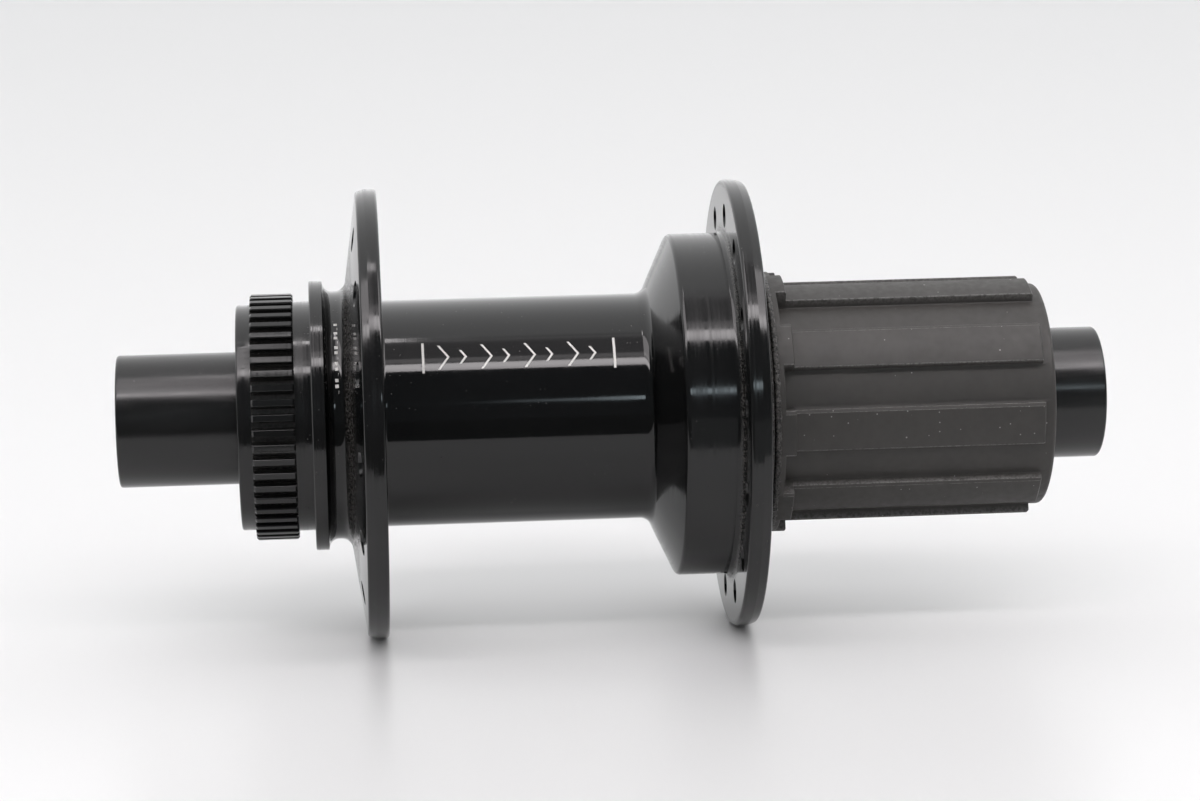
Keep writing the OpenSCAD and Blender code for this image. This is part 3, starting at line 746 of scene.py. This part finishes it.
def end_cap(name, side, socket_y, neck_y, start_y):
    """A sleeve with a socket for the axle. Its inboard end, from start_y to neck_y, is thinner."""
    face, bore, outer, neck, socket, edge = 71, 6.05, 9.5, 9, 7.55, 0.4
    outline = [(bore, face - edge), *arc(bore + edge, face - edge, edge, 180, 90, 5)]
    outline += [*arc(outer - edge, face - edge, edge, 90, 0, 6), (outer, neck_y), (neck, neck_y)]
    outline += [(neck, start_y), (socket, start_y), (socket, socket_y), (bore, socket_y)]
    skin = Skin()
    loops = skin.turn([(r, side * y) for r, y in outline], ROUND)
    skin.band(loops[-1], loops[0])
    return skin.object(name)


add_piece(end_cap("end_cap_disc_side_turned", 1, 58.05, 48.4, 46.2),
          "axle", "cap_anodised", "end_cap_disc_side")
add_piece(end_cap("end_cap_drive_side_turned", -1, 62.05, 54.6, 51.5),
          "axle", "cap_anodised", "end_cap_drive_side")


# ---------- etched ornament ----------

MARK_SUNK, MARK_PROUD, MARK_STEP_DEG = 0.03, 0.015, 1.5


def slab(skin, radius, y_low, y_high, deg_low, deg_high, lean=0.0):
    """A thin curved mark on a cylinder. lean moves its upper end along the axis."""
    steps = max(2, int(abs(deg_high - deg_low) / MARK_STEP_DEG))
    rings = []
    for r in (radius - MARK_SUNK, radius + MARK_PROUD):
        low, high = [], []
        for k in range(steps + 1):
            d = deg_low + (deg_high - deg_low) * k / steps
            shift = lean * k / steps
            low.append(place(r, d, y_low + shift))
            high.append(place(r, d, y_high + shift))
        rings.append([*low, *reversed(high)])
    first = len(skin.points)
    count = len(rings[0])
    skin.points += rings[0] + rings[1]
    skin.wear_and_edge_highlight += [0.0] * (2 * count)
    inner = list(range(first, first + count))
    outer = list(range(first + count, first + 2 * count))
    skin.band(inner, outer)
    for ring in (inner, outer):
        for k in range(steps):
            skin.faces.append((ring[k], ring[k + 1], ring[count - 2 - k], ring[count - 1 - k]))


def ornament():
    """A row of thin chevrons between two bars on the barrel, and a row of ticks on the neck."""
    skin = Skin()
    middle, half, thick = 38.5, 8.5, 0.34
    for y in (27.6, 0.6):
        slab(skin, BARREL_R, y - thick, y, middle - half, middle + half)
    for k in range(8):
        y = 25.4 - 3.05 * k
        reach = half * (0.45 if k % 2 else 0.8)
        point = reach * BARREL_R * math.radians(1) * 0.7
        slab(skin, BARREL_R, y - thick, y, middle - reach, middle, lean=-point)
        slab(skin, BARREL_R, y - point - thick, y - point, middle, middle + reach, lean=point)
    for k in range(14):
        tall = 1.15 if k % 3 else 0.7
        slab(skin, NECK_R, 38.7, 38.7 + tall, 20 + 2.7 * k, 21.5 + 2.7 * k)
    piece = skin.object("etched_ornament")
    piece.modifiers.clear()
    return piece


mark = ornament()
paint(mark, etched_finish())
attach(mark, "hub_shell")


# ---------- floor and backdrop, in metres ----------

def stage_material(name, base, rough):
    f = Finish(name, Metallic=0.0, IOR=1.45)
    f.set(Base_Color=f.mix(f.noise(0.004, 2), grey(base * 0.995), grey(base)))
    f.set(Roughness=rough)
    return f.material


def flat_card(name, corners, material):
    """One flat face of the stage."""
    mesh = bpy.data.meshes.new(name)
    mesh.from_pydata(corners, [], [tuple(range(len(corners)))])
    mesh.materials.append(material)
    made = linked(name, mesh)
    return made


FLOOR_R, FLOOR_CORNERS, FLOOR_GAP = 6.0, 96, 0.00002
floor_z = cad_lo.z
floor_turns = [math.radians(d) for d in even(FLOOR_CORNERS)]
flat_card("floor", [(FLOOR_R * math.cos(t), FLOOR_R * math.sin(t), floor_z - FLOOR_GAP) for t in floor_turns],
          stage_material("floor_white", 0.765, 0.32))


def glow_material(name, colour, one_sided=False):
    """Plain light. A one-sided card is clear from its back."""
    made = bpy.data.materials.new(name)
    made.use_nodes = True
    tree = made.node_tree
    tree.nodes.clear()
    out = tree.nodes.new("ShaderNodeOutputMaterial")
    glow = tree.nodes.new("ShaderNodeEmission")
    glow.inputs["Color"].default_value = (*colour, 1)
    tree.links.new(glow.outputs[0], out.inputs["Surface"])
    if one_sided:
        side = tree.nodes.new("ShaderNodeNewGeometry")
        clear = tree.nodes.new("ShaderNodeBsdfTransparent")
        choice = tree.nodes.new("ShaderNodeMixShader")
        tree.links.new(side.outputs["Backfacing"], choice.inputs[0])
        tree.links.new(glow.outputs[0], choice.inputs[1])
        tree.links.new(clear.outputs[0], choice.inputs[2])
        tree.links.new(choice.outputs[0], out.inputs["Surface"])
    return made


def wall(name, corners, material, camera_only):
    """A flat card that only the camera sees, or only reflections see."""
    made = flat_card(name, corners, material)
    made.visible_camera = camera_only
    made.visible_glossy = not camera_only
    made.visible_diffuse = False
    made.visible_transmission = False
    made.visible_shadow = False


def backdrop():
    radius, low, high, cards = 5.8, -0.1, 5.0, 24
    pale = glow_material("backdrop_pale", (0.89, 0.895, 0.905))
    for i in range(cards):
        turns = [math.radians(360 / cards * k) for k in (i, i + 1)]
        a, b = ((radius * math.cos(t), radius * math.sin(t)) for t in turns)
        wall(f"backdrop_{i:02d}", [(*a, low), (*b, low), (*b, high), (*a, high)], pale, True)


backdrop()


# ---------- front cards and lights ----------

FLAG_X, FLAG_SPLIT_Y, FLAG_TOP_Z, FLAG_REACH = -0.111, -0.015, 0.004, 1.6


def front_flag(name, low_y, high_y, strength):
    """A dim card in front of the hub, below the camera, for the shell's lower half to mirror."""
    corners = [(FLAG_X, low_y, floor_z), (FLAG_X, high_y, floor_z), (FLAG_X, high_y, FLAG_TOP_Z),
               (FLAG_X, low_y, FLAG_TOP_Z)]
    wall(name, corners, glow_material(name, (strength * 0.95, strength, strength * 1.02), True), False)


front_flag("front_flag_left", FLAG_SPLIT_Y, FLAG_REACH, 0.08)
front_flag("front_flag_right", -FLAG_REACH, FLAG_SPLIT_Y, 0.27)


def softbox(name, distance, elevations, stations, radiance, colour, lights_floor=False):
    """A rectangular light that faces the hub axis, between two elevations and two stations in metres."""
    middle = math.radians(sum(elevations) / 2)
    half = math.radians(elevations[1] - elevations[0]) / 2
    wide, high = stations[1] - stations[0], 2 * distance * math.tan(half)
    data = bpy.data.lights.new(name, "AREA")
    data.shape = "RECTANGLE"
    data.size = wide
    data.size_y = high
    data.energy = radiance * math.pi * wide * high
    data.color = colour
    made = linked(name, data)
    out = Vector((-math.cos(middle), 0, math.sin(middle)))
    along = Vector((0, 1, 0))
    up = out.cross(along)
    centre = out * distance + along * sum(stations) / 2
    made.matrix_world = Matrix((
        (along.x, up.x, out.x, centre.x), (along.y, up.y, out.y, centre.y),
        (along.z, up.z, out.z, centre.z), (0, 0, 0, 1)))
    made.visible_camera = False
    made.visible_diffuse = lights_floor
    return made


PLAIN, WARM, COOL = (1.0, 1.0, 1.0), (1.0, 0.955, 0.97), (0.80, 0.93, 1.0)
softbox("key_strip", 1.2, (52.5, 60), (-1.2, 1.15), 7.0, WARM, True)
softbox("front_fill", 1.6, (24, 48), (-1.3, 1.3), 1.8, PLAIN, True).visible_glossy = False
softbox("key_glow", 1.2, (55, 66), (-1.2, 1.15), 1.1, WARM, True)
softbox("key_haze", 1.2, (62, 88), (-1.2, 1.15), 0.5, WARM)
softbox("top_strip", 1.2, (86.5, 91.3), (0.008, 0.105), 8.5, WARM)
softbox("high_window_disc_side", 1.2, (62, 86), (0.07, 1.2), 2.9, WARM)
softbox("high_window_drive_side", 1.2, (60, 88), (-1.4, -0.235), 3.0, WARM)
softbox("low_window", 2.1, (16.6, 20.4), (-0.9, -0.16), 3.4, COOL)
softbox("low_window_edge", 2.1, (17.5, 19.9), (-0.9, -0.09), 1.2, COOL)


def world_light():
    """Dark in front of the hub, white overhead and behind it."""
    world = bpy.data.worlds.new("studio")
    bpy.context.scene.world = world
    world.use_nodes = True
    tree = world.node_tree
    place_node = tree.nodes.new("ShaderNodeTexCoord")
    parts = tree.nodes.new("ShaderNodeSeparateXYZ")
    tree.links.new(place_node.outputs["Generated"], parts.inputs[0])
    fade = tree.nodes.new("ShaderNodeMapRange")
    fade.interpolation_type = "SMOOTHSTEP"
    for key, value in (("From Min", -0.14), ("From Max", 0.06)):
        fade.inputs[key].default_value = value
    tree.links.new(parts.outputs["X"], fade.inputs["Value"])
    colour = tree.nodes.new("ShaderNodeMix")
    colour.data_type = "RGBA"
    tree.links.new(fade.outputs["Result"], colour.inputs["Factor"])
    colour.inputs["A"].default_value = (0.11, 0.118, 0.125, 1)
    colour.inputs["B"].default_value = (1.22, 1.22, 1.23, 1)
    tree.links.new(colour.outputs["Result"], tree.nodes["Background"].inputs["Color"])


world_light()


# ---------- camera ----------

LENS_MM, SENSOR_MM = 107.9, 36
CAMERA_RISE_DEG, CAMERA_ROLL_DEG = 10.5, -1.8
LEVEL_CAMERA, AIM_POINT = Vector((-0.5207, 0.0404, 0)), Vector((0, 0.0016, 0.0009))


def camera():
    """Set level with the hub and aimed near its middle, then swung up round the hub axis."""
    data = bpy.data.cameras.new("camera")
    data.lens = LENS_MM
    data.sensor_width = SENSOR_MM
    made = linked("camera", data)
    aimed = (AIM_POINT - LEVEL_CAMERA).to_track_quat("-Z", "Y").to_matrix().to_4x4()
    roll = Matrix.Rotation(math.radians(CAMERA_ROLL_DEG), 4, "Z")
    swing = Matrix.Rotation(math.radians(CAMERA_RISE_DEG), 4, "Y")
    made.matrix_world = swing @ Matrix.Translation(LEVEL_CAMERA) @ (aimed @ roll)
    bpy.context.scene.camera = made


camera()
bpy.context.scene.view_settings.view_transform = "Standard"
